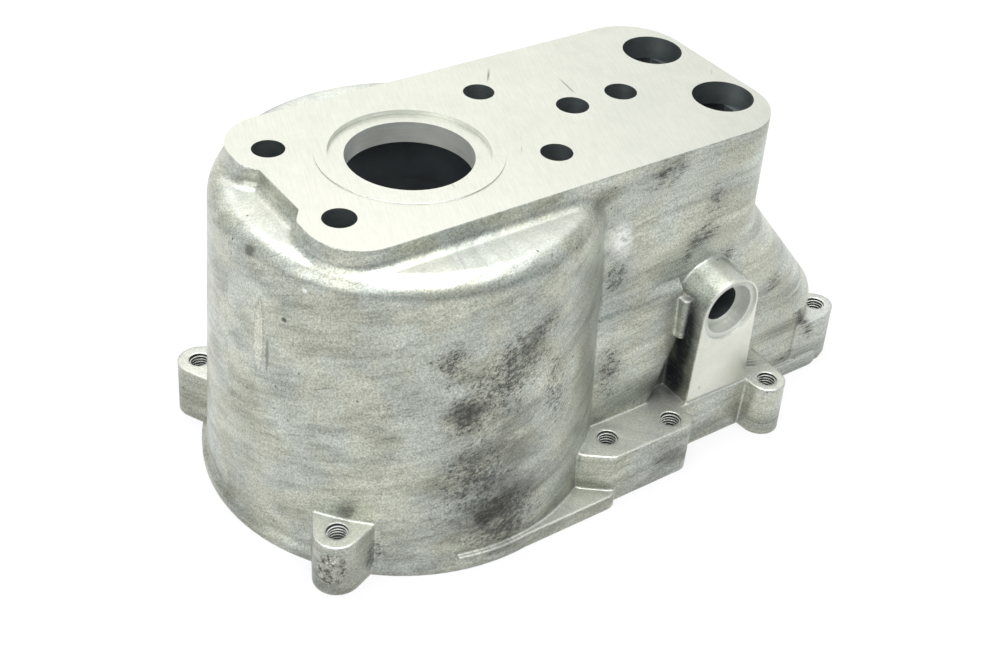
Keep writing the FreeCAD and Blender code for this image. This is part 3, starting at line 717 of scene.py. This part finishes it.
@dataclass
class Casting:
    """The casting itself, copied from its CAD node with its faces sorted into finishes."""

    node: bpy.types.Object
    places: Places
    merge: float = 1e-6
    near: float = 0.15 * MM
    lift: float = 0.02 * MM
    rays: int = 12
    pad_half: float = 14 * MM
    plate_step: float = 1.3 * MM
    hole_depth: float = 40 * MM
    faces: np.ndarray = field(init=False)
    points: np.ndarray = field(init=False)
    normals: np.ndarray = field(init=False)

    def __post_init__(self) -> None:
        """Read the node's loose triangles and weld their corners."""
        mesh = self.node.data
        count = len(mesh.vertices)
        raw = np.empty(count * 3)
        mesh.vertices.foreach_get("co", raw)
        raw = raw.reshape(-1, 3)
        keys = np.round(raw / self.merge).astype(np.int64)
        _, first, inverse = np.unique(keys, axis=0, return_index=True, return_inverse=True)
        inverse = np.asarray(inverse).reshape(-1)
        loops = np.empty(len(mesh.loops), np.int32)
        mesh.loops.foreach_get("vertex_index", loops)
        corner = np.empty(len(mesh.loops) * 3, np.float32)
        mesh.corner_normals.foreach_get("vector", corner)
        faces = inverse[loops].reshape(-1, 3)
        whole = (faces[:, 0] != faces[:, 1]) & (faces[:, 1] != faces[:, 2]) & (faces[:, 2] != faces[:, 0])
        self.points = raw[first]
        self.faces = faces[whole]
        self.normals = corner.reshape(-1, 3, 3)[whole].astype(float)

    def sorted_skins(self) -> np.ndarray:
        """Tell each face's finish from where it lies and where it looks.

        Returns:
            The material slot of each face.
        """
        corners = self.points[self.faces]
        centre = corners.mean(1)
        normal = np.cross(corners[:, 1] - corners[:, 0], corners[:, 2] - corners[:, 0])
        normal /= np.maximum(np.linalg.norm(normal, axis=1), 1e-20)[:, None]
        kinds = np.full(len(centre), Skin.CAST.value)
        mounts = self.places.mounts
        top, base, pad = mounts["top_face"], mounts["base_joint"], mounts["pad_face"]

        # the holes are told apart after the cavity, and the machined faces last
        # painted shade: the cavity gets the dark inside finish
        kinds[self.looks_inside(centre, normal)] = Skin.INSIDE.value
        # painted shade: the drilled walls' dark finish stands in for the shade inside the holes
        for mount in self.places.named("corner_holes", "centre_holes", "end_holes", "side_passage"):
            kinds[self.on_wall(mount, centre, normal, self.hole_depth)] = Skin.DRILLED.value
        for mount in self.places.named("main_bore", "top_recess", "side_bore"):
            kinds[self.on_wall(mount, centre, normal)] = Skin.TURNED.value
        # painted shade: the bearing seat and the tapped holes get the dark inside finish too
        for mount in self.places.named("bearing_seat"):
            below = centre[:, 2] < mount.place.z + mount.length / 2 + self.near
            kinds[self.on_wall(mount, centre, normal) & below] = Skin.INSIDE.value
        for mount in self.places.tapped():
            kinds[self.on_wall(mount, centre, normal)] = Skin.INSIDE.value
        level = (normal[:, 2] > 0.999) & (centre[:, 2] > top.place.z - self.plate_step)
        kinds[level] = Skin.MILLED.value
        kinds[(normal[:, 2] < -0.999) & (centre[:, 2] < base.place.z + self.near)] = Skin.MILLED.value
        flat = (normal[:, 1] < -0.999) & (np.abs(centre[:, 1] - pad.place.y) < self.near)
        kinds[flat & (np.abs(centre[:, 0] - pad.place.x) < self.pad_half)] = Skin.MILLED.value
        return kinds

    def looks_inside(self, centre: np.ndarray, normal: np.ndarray) -> np.ndarray:
        """Find the faces of the cavity by casting rays up and sideways from each face.

        Args:
            centre: Middle of each face.
            normal: Normal of each face.

        Returns:
            True where the face belongs to the inside.
        """
        tree = BVHTree.FromPolygons([tuple(p) for p in self.points], [tuple(f) for f in self.faces.tolist()])
        result = np.zeros(len(centre), bool)
        ways = [Vector((0, 0, 1))]
        # two rings of rays, one steep and one nearly level, the second turned a little
        for slope, first in ((0.35, 0.0), (0.03, 0.2)):
            for angle in np.linspace(first, first + 2 * math.pi, self.rays, endpoint=False):
                ways.append(Vector((math.cos(angle), math.sin(angle), slope)).normalized())
        for index, (middle, out) in enumerate(zip(centre, normal)):
            start = Vector(middle) + Vector(out) * self.lift
            free = any(way.dot(Vector(out)) > -0.2 and tree.ray_cast(start, way)[0] is None for way in ways)
            result[index] = not free
        return result

    @staticmethod
    def on_wall(mount: Mount, centre: np.ndarray, normal: np.ndarray, extra: float = 0.6 * MM) -> np.ndarray:
        """Find the faces of a hole's wall and floor.

        Args:
            mount: The hole.
            centre: Middle of each face.
            normal: Normal of each face.
            extra: How far past the hole's ends its wall may go.

        Returns:
            True for the faces that lie within the hole's radius and along it.
        """
        offset = centre - np.array(mount.place)
        axis = np.array(mount.axis)
        along = offset @ axis
        across = offset - along[:, None] * axis
        distance = np.linalg.norm(across, axis=1)
        inward = (across * normal).sum(1) <= 0.02 * MM
        return (distance < mount.radius + 0.2 * MM) & (np.abs(along) < mount.length + extra) & inward

    def build(self, dress: dict[Skin, bpy.types.Material]) -> bpy.types.Object:
        """Make the casting's mesh with its CAD normals kept, and stand it in for the node.

        Args:
            dress: The material of each kind of face.

        Returns:
            The casting.
        """
        mesh = bpy.data.meshes.new("housing_casting")
        mesh.from_pydata(self.points.tolist(), [], self.faces.tolist())
        mesh.update()
        for skin in Skin:
            mesh.materials.append(dress[skin])
        mesh.polygons.foreach_set("material_index", self.sorted_skins().astype(np.int32))
        mesh.polygons.foreach_set("use_smooth", np.ones(len(self.faces), bool))
        mesh.normals_split_custom_set(self.normals.reshape(-1, 3).tolist())
        piece = new_piece("housing_casting", mesh)
        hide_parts(NODE)
        return piece


@dataclass
class Threads:
    """M6 threads in the tapped holes, cut as helical ridges between the tap drill and the hole's wall."""

    holes: list[Mount]
    pitch: float = 1.0 * MM
    depth: float = 0.5 * MM
    sides: int = 24
    margin: float = 0.45 * MM
    # shares of the depth: how far inside the wall the ridge's axis lies, and how far its section reaches
    inset: float = 0.42
    fullness: float = 0.62

    def tree(self, mount: Mount, material: bpy.types.Material) -> bpy.types.NodeTree:
        """Build the node tree that sweeps the ridge's section along a helix.

        Args:
            mount: The hole.
            material: Finish of the ridge.

        Returns:
            The geometry tree.
        """
        tree = bpy.data.node_groups.new("thread_ridge", "GeometryNodeTree")
        for name in ("Turns", "Radius", "Length", "Section"):
            tree.interface.new_socket(name, in_out="INPUT", socket_type="NodeSocketFloat")
        tree.interface.new_socket("Sides", in_out="INPUT", socket_type="NodeSocketInt")
        tree.interface.new_socket("Geometry", in_out="OUTPUT", socket_type="NodeSocketGeometry")
        sizes = add(tree, "NodeGroupInput").outputs
        helix = add(
            tree, "GeometryNodeCurveSpiral", None, Resolution=sizes["Sides"], Rotations=sizes["Turns"],
            Start_Radius=sizes["Radius"], End_Radius=sizes["Radius"], Height=sizes["Length"],
        )
        section = add(tree, "GeometryNodeCurvePrimitiveCircle", None, Resolution=3, Radius=sizes["Section"])
        swept = add(tree, "GeometryNodeCurveToMesh", None, helix, section, Fill_Caps=True)
        foot = Vector((mount.place.x, mount.place.y, mount.place.z - mount.length + self.margin))
        moved = add(tree, "GeometryNodeTransform", None, swept, Translation=foot)
        real = add(tree, "GeometryNodeRealizeInstances", None, moved)
        dressed = add(tree, "GeometryNodeSetMaterial", None, Geometry=real, Material=material)
        add(tree, "NodeGroupOutput", None, dressed)
        return tree

    def ridge(self, mount: Mount, material: bpy.types.Material) -> bpy.types.Mesh:
        """Evaluate the tree for one hole.

        Args:
            mount: The hole.
            material: Finish of the ridge.

        Returns:
            The ridge as a plain mesh.
        """
        tree = self.tree(mount, material)
        blank = bpy.data.objects.new("thread_blank", bpy.data.meshes.new("thread_blank"))
        bpy.context.scene.collection.objects.link(blank)
        modifier = blank.modifiers.new("thread", "NODES")
        modifier.node_group = tree
        span = mount.length - 2 * self.margin
        values = {
            "Turns": span / self.pitch,
            "Radius": mount.radius - self.depth * self.inset,
            "Length": span,
            "Section": self.depth * self.fullness,
            "Sides": self.sides,
        }
        for item in tree.interface.items_tree:
            if item.item_type == "SOCKET" and item.in_out == "INPUT":
                modifier[item.identifier] = values[item.name]
        bpy.context.view_layer.update()
        evaluated = blank.evaluated_get(bpy.context.evaluated_depsgraph_get())
        mesh = bpy.data.meshes.new_from_object(evaluated)
        blank.modifiers.clear()
        bpy.data.objects.remove(blank)
        return mesh

    def build(self, material: bpy.types.Material) -> bpy.types.Object:
        """Join the ridges of all the holes into one piece.

        Args:
            material: Finish of the ridges.

        Returns:
            The threads.
        """
        whole = bmesh.new()
        for mount in self.holes:
            whole.from_mesh(self.ridge(mount, material))
        bmesh.ops.remove_doubles(whole, verts=whole.verts, dist=1e-7)
        bmesh.ops.recalc_face_normals(whole, faces=whole.faces)
        mesh = bpy.data.meshes.new("tapped_threads")
        whole.to_mesh(mesh)
        whole.free()
        mesh.polygons.foreach_set("use_smooth", np.ones(len(mesh.polygons), bool))
        return new_piece("tapped_threads", mesh, material)


@dataclass
class GateRemnant:
    """Stub of the gate that was broken off a lug's outer face: rough torn metal in a low patch."""

    lug: Mount
    round: float = 6.5 * MM
    width: float = 4.2 * MM
    height: float = 5.6 * MM
    proud: float = 1.15 * MM
    drop: float = 8.2 * MM
    turned: float = 6.0

    def build(self, material: bpy.types.Material) -> bpy.types.Object:
        """Roughen a flattened ball on the lug's outer face, inside the part's box.

        Args:
            material: Finish of the stub.

        Returns:
            The stub.
        """
        away = Vector((self.lug.place.x, self.lug.place.y, 0)).normalized()
        out = Matrix.Rotation(math.radians(self.turned), 3, "Z") @ away
        side = Vector((-out.y, out.x, 0))
        middle = self.lug.place - Vector((0, 0, self.drop))
        shape = bmesh.new()
        bmesh.ops.create_icosphere(shape, subdivisions=5, radius=1.0)
        for vertex in shape.verts:
            way = vertex.co.copy()
            lump = 1 + 0.20 * noise.noise(way * 1.7) + 0.10 * noise.noise(way * 4.1)
            torn = noise.noise(way * 4.0 + Vector((3, 1, 7))) + 0.6 * abs(noise.noise(way * 9.0))
            across = way.x * self.width * lump
            deep = math.sqrt(self.round**2 - across**2) + way.y * self.proud * (0.75 + 0.6 * torn)
            vertex.co = middle + side * across + out * deep + Vector((0, 0, 1)) * way.z * self.height * lump
        bmesh.ops.recalc_face_normals(shape, faces=shape.faces)
        mesh = bpy.data.meshes.new("gate_remnant")
        shape.to_mesh(mesh)
        shape.free()
        mesh.polygons.foreach_set("use_smooth", np.ones(len(mesh.polygons), bool))
        return new_piece("gate_remnant", mesh, material)


@dataclass
class FlowMark:
    """Long drop-shaped mark on the drum, where the metal folded on itself in the die."""

    radius_base: float = 58.0 * MM
    top: float = 18.5 * MM
    bottom: float = 42.5 * MM
    angle: float = -164.9
    width: float = 2.1 * MM
    rise: float = 0.42 * MM
    draft: float = 3.0
    rows: int = 48
    columns: int = 15

    def build(self, material: bpy.types.Material, drum_height: float) -> bpy.types.Object:
        """Lay a closed lens with a raised rim on the drum's slanted wall.

        Args:
            material: Finish of the mark.
            drum_height: From the base to the origin of the frame.

        Returns:
            The mark.
        """
        rows, columns = self.rows, self.columns
        shape = bmesh.new()
        outer: list[list[bmesh.types.BMVert]] = []
        inner: list[list[bmesh.types.BMVert]] = []
        slope = math.tan(math.radians(self.draft))
        for row in range(rows + 1):
            t = row / rows
            z = -(self.top + (self.bottom - self.top) * t)
            half = self.width * (math.sin(math.pi * t) ** 0.6) * (0.55 + 0.55 * t) + 1e-5
            line_out, line_in = [], []
            wall = self.radius_base - slope * (z + drum_height)
            for column in range(columns):
                s = 2 * column / (columns - 1) - 1
                across = half * s + 0.12 * MM * noise.noise(Vector((t * 9, s, 0)))
                bead = math.exp(-(((abs(s) - 0.74) / 0.2) ** 2))
                fall = max(0.0, 1 - abs(s) ** 6)
                lift = self.rise * (0.30 + 0.9 * bead) * fall * min(1.0, 6 * math.sin(math.pi * t))
                lift += 0.05 * MM * noise.noise(Vector((t * 30, s * 3, 1.7)))
                angle = math.radians(self.angle) + across / wall - 0.012 * t
                for line, reach in ((line_out, wall + lift + 0.01 * MM), (line_in, wall - 0.35 * MM)):
                    line.append(shape.verts.new((reach * math.cos(angle), reach * math.sin(angle), z)))
            outer.append(line_out)
            inner.append(line_in)
        for row in range(rows):
            for column in range(columns - 1):
                for sheet in (outer, inner):
                    here, below = sheet[row], sheet[row + 1]
                    shape.faces.new((here[column], below[column], below[column + 1], here[column + 1]))
            for column in (0, columns - 1):
                over, under = outer[row : row + 2], inner[row : row + 2]
                shape.faces.new((over[0][column], over[1][column], under[1][column], under[0][column]))
        for row in (0, rows):
            over, under = outer[row], inner[row]
            for column in range(columns - 1):
                shape.faces.new((over[column], over[column + 1], under[column + 1], under[column]))
        bmesh.ops.recalc_face_normals(shape, faces=shape.faces)
        mesh = bpy.data.meshes.new("drum_flow_mark")
        shape.to_mesh(mesh)
        shape.free()
        mesh.polygons.foreach_set("use_smooth", np.ones(len(mesh.polygons), bool))
        return new_piece("drum_flow_mark", mesh, material)


# ---------------------------------------------------------------- studio


@dataclass
class Studio:
    """White table, soft boxes and the camera."""

    floor: float
    middle: Vector = field(default_factory=lambda: Vector((0.04, 0.0, -0.04)))
    camera_place: Triple = (-183.58, -286.03, 203.11)
    heading: float = 37.37
    elevation: float = 37.51
    roll: float = 4.76
    lens: float = 53.35

    def table(self) -> bpy.types.Object:
        """Lay the pale floor that the housing stands on.

        Returns:
            The floor.
        """
        mesh = bpy.data.meshes.new("table")
        half = 6.0
        corners = [(x * half, y * half, self.floor) for x, y in ((-1, -1), (1, -1), (1, 1), (-1, 1))]
        mesh.from_pydata(corners, [], [(0, 1, 2, 3)])
        mesh.update()
        table = bpy.data.objects.new("table", mesh)
        bpy.context.scene.collection.objects.link(table)
        # matt paper with light of its own, so that it stays white to its edge under a soft shadow
        paper = bpy.data.materials.new("white_background_paper")
        paper.use_nodes = True
        tree = paper.node_tree
        tree.nodes.clear()
        fibre = add(tree, NOISE, None, add(tree, "ShaderNodeTexCoord").outputs["Object"], 900.0, 2.0)
        tint = add(tree, MIX, COLOURS, fibre, linear("#686868"), linear("#6E6E6E"))
        matt = add(tree, SURFACE, None, Base_Color=tint, Roughness=0.95, Specular_IOR_Level=0.1)
        glow = add(tree, "ShaderNodeEmission", None, Color=(1.0, 1.0, 1.0, 1.0), Strength=0.78)
        both = add(tree, "ShaderNodeAddShader", None, matt, glow)
        add(tree, "ShaderNodeOutputMaterial", None, both)
        mesh.materials.append(paper)
        return table

    def lamp(self, name: str, place: Vector, size: tuple[float, float], power: float) -> bpy.types.Object:
        """Hang a soft box.

        Args:
            name: Name of the lamp.
            place: Where it hangs.
            size: Its two sides.
            power: Watts.

        Returns:
            The lamp.
        """
        light = bpy.data.lights.new(name, "AREA")
        light.shape = "RECTANGLE"
        light.size, light.size_y = size
        light.energy = power
        lamp = bpy.data.objects.new(name, light)
        lamp.location = place
        lamp.rotation_euler = (self.middle - place).to_track_quat("-Z", "Y").to_euler()
        bpy.context.scene.collection.objects.link(lamp)
        return lamp

    def surround(self) -> None:
        """Give the studio its walls of light: white above, a dim band near the horizon."""
        world = bpy.data.worlds.new("studio")
        bpy.context.scene.world = world
        world.use_nodes = True
        tree = world.node_tree
        tree.nodes.clear()
        way = add(tree, "ShaderNodeTexCoord").outputs["Generated"]
        height = add(tree, SPLIT, None, way).outputs[2]
        band = add(tree, "ShaderNodeValToRGB", None, Fac=height)
        stops = [
            (0.0, "#8D979E"), (0.02, "#4E5A63"), (0.28, "#56636D"),
            (0.52, "#A9B0B4"), (0.78, "#EDEFEF"), (1.0, "#FFFFFF"),
        ]
        ramp = band.color_ramp
        while len(ramp.elements) < len(stops):
            ramp.elements.new(0.5)
        for element, (position, code) in zip(ramp.elements, stops):
            element.position = position
            element.color = linear(code)
        # only the studio behind the camera is dim: it draws the dark band under the shoulder's highlight
        heading = math.radians(self.heading)
        near = Vector((-math.sin(heading), -math.cos(heading), 0))
        facing = add(tree, VECTOR, DOT, way, near)
        dim = add(tree, RANGE, SMOOTH, facing, 0.0, 0.6)
        round_wall = add(tree, MIX, COLOURS, dim, linear("#C4C9CC"), band)
        upper = add(tree, RANGE, SMOOTH, height, 0.5, 0.9)
        round_wall = add(tree, MIX, COLOURS, upper, round_wall, band)
        # a bright wall behind the housing, brightest to the left of the camera's line, lights the top plate
        behind = Vector((math.sin(math.radians(10)), math.cos(math.radians(10)), 0.62)).normalized()
        toward = add(tree, VECTOR, DOT, way, behind)
        wall = add(tree, RANGE, SMOOTH, toward, 0.68, 0.97)
        colour = add(tree, MIX, COLOURS, wall, round_wall, (1.14, 1.15, 1.13, 1.0))
        back = add(tree, "ShaderNodeBackground", None, Color=colour, Strength=0.95)
        add(tree, "ShaderNodeOutputWorld", None, back)

    def camera(self) -> bpy.types.Object:
        """Set up the camera from the side of the drum and above.

        Returns:
            The camera.
        """
        data = bpy.data.cameras.new("camera")
        data.lens = self.lens
        data.sensor_width = 36.0
        data.clip_start, data.clip_end = 0.01, 50.0
        camera = bpy.data.objects.new("camera", data)
        turn = Matrix.Rotation(-math.radians(self.heading), 4, "Z")
        tilt = Matrix.Rotation(math.radians(90 - self.elevation), 4, "X")
        level = Matrix.Rotation(math.radians(self.roll), 4, "Z")
        camera.matrix_world = Matrix.Translation(Vector(self.camera_place) * MM) @ turn @ tilt @ level
        bpy.context.scene.collection.objects.link(camera)
        bpy.context.scene.camera = camera
        return camera

    def build(self) -> None:
        """Set the table, the lamps, the surround and the camera."""
        self.table()
        self.lamp("overhead_softbox", Vector((0.02, 0.00, 0.92)), (1.2, 0.9), 17.5)
        self.lamp("left_fill", Vector((-0.9, -0.25, 0.55)), (0.7, 0.7), 4.0)
        self.surround()
        self.camera()
        bpy.context.scene.view_settings.view_transform = "Standard"


# ---------------------------------------------------------------- building the scene


def main() -> None:
    """Build the housing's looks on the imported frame."""
    logging.basicConfig(level=logging.INFO, format="%(name)s %(message)s")
    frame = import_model()
    places = Places(frame["record"])
    dress = {skin: finish.material() for skin, finish in finishes().items()}
    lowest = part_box(NODE)[0].z

    Casting(frame["nodes"][NODE], places).build(dress)
    Threads(places.tapped()).build(dress[Skin.TURNED])
    GateRemnant(places.mounts["drum_lug_front"]).build(BrokenMetal().material())
    # metal that folded on itself keeps a paler, warmer skin than the wall round it
    folded = CastSkin(name="folded_cast_skin", pale="#DAD9CC", body="#CDCCBE", dull="#A9A89B")
    FlowMark().build(folded.material(), -lowest)
    Studio(lowest - 0.05 * MM).build()


if __name__ == "__main__":
    main()
